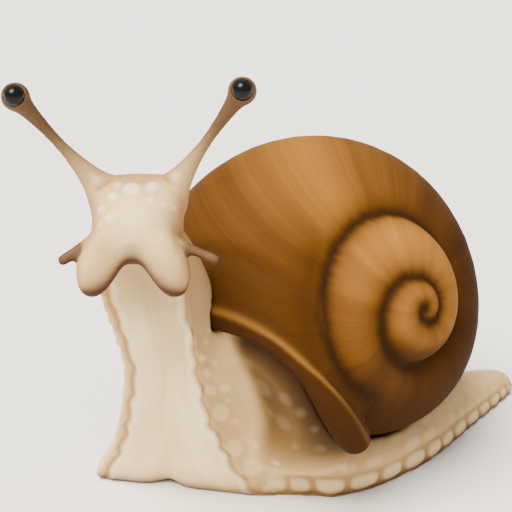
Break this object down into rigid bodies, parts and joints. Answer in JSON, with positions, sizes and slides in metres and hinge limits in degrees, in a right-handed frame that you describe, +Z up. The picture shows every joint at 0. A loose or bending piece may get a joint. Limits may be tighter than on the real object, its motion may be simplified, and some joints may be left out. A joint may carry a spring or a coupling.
{
  "type": "roman snail",
  "caption": "Life-size adult Roman snail with a round left-coiled shell, head and front foot reared up, tentacles out, resting on the flat sole of its foot.",
  "frame": {"origin": "on the floor under the shell, on the flat sole of the foot", "axes": "+Z up, +Y from the shell towards the tail, -Y towards the raised head, +X towards the snail's left, the side of the spire"},
  "size_m": [0.0459, 0.0903, 0.0681],
  "materials": {
    "shell": "satin, with fine growth lines",
    "skin": "moist, tubercled",
    "mantle": "moist, smooth",
    "tentacle": "moist, finely grained",
    "eye": "gloss"
  },
  "bodies": {
    "root": {"shell": "shell", "mantle": "mantle", "tail": "skin", "foot": "skin", "neck": "skin", "torso": "skin", "head": "skin", "oral_lobe_left": "skin", "oral_lobe_right": "skin", "upper_tentacle_left": "tentacle", "upper_tentacle_right": "tentacle", "lower_tentacle_left": "tentacle", "lower_tentacle_right": "tentacle", "eye_left": "eye", "eye_right": "eye"}
  },
  "joints": []
}
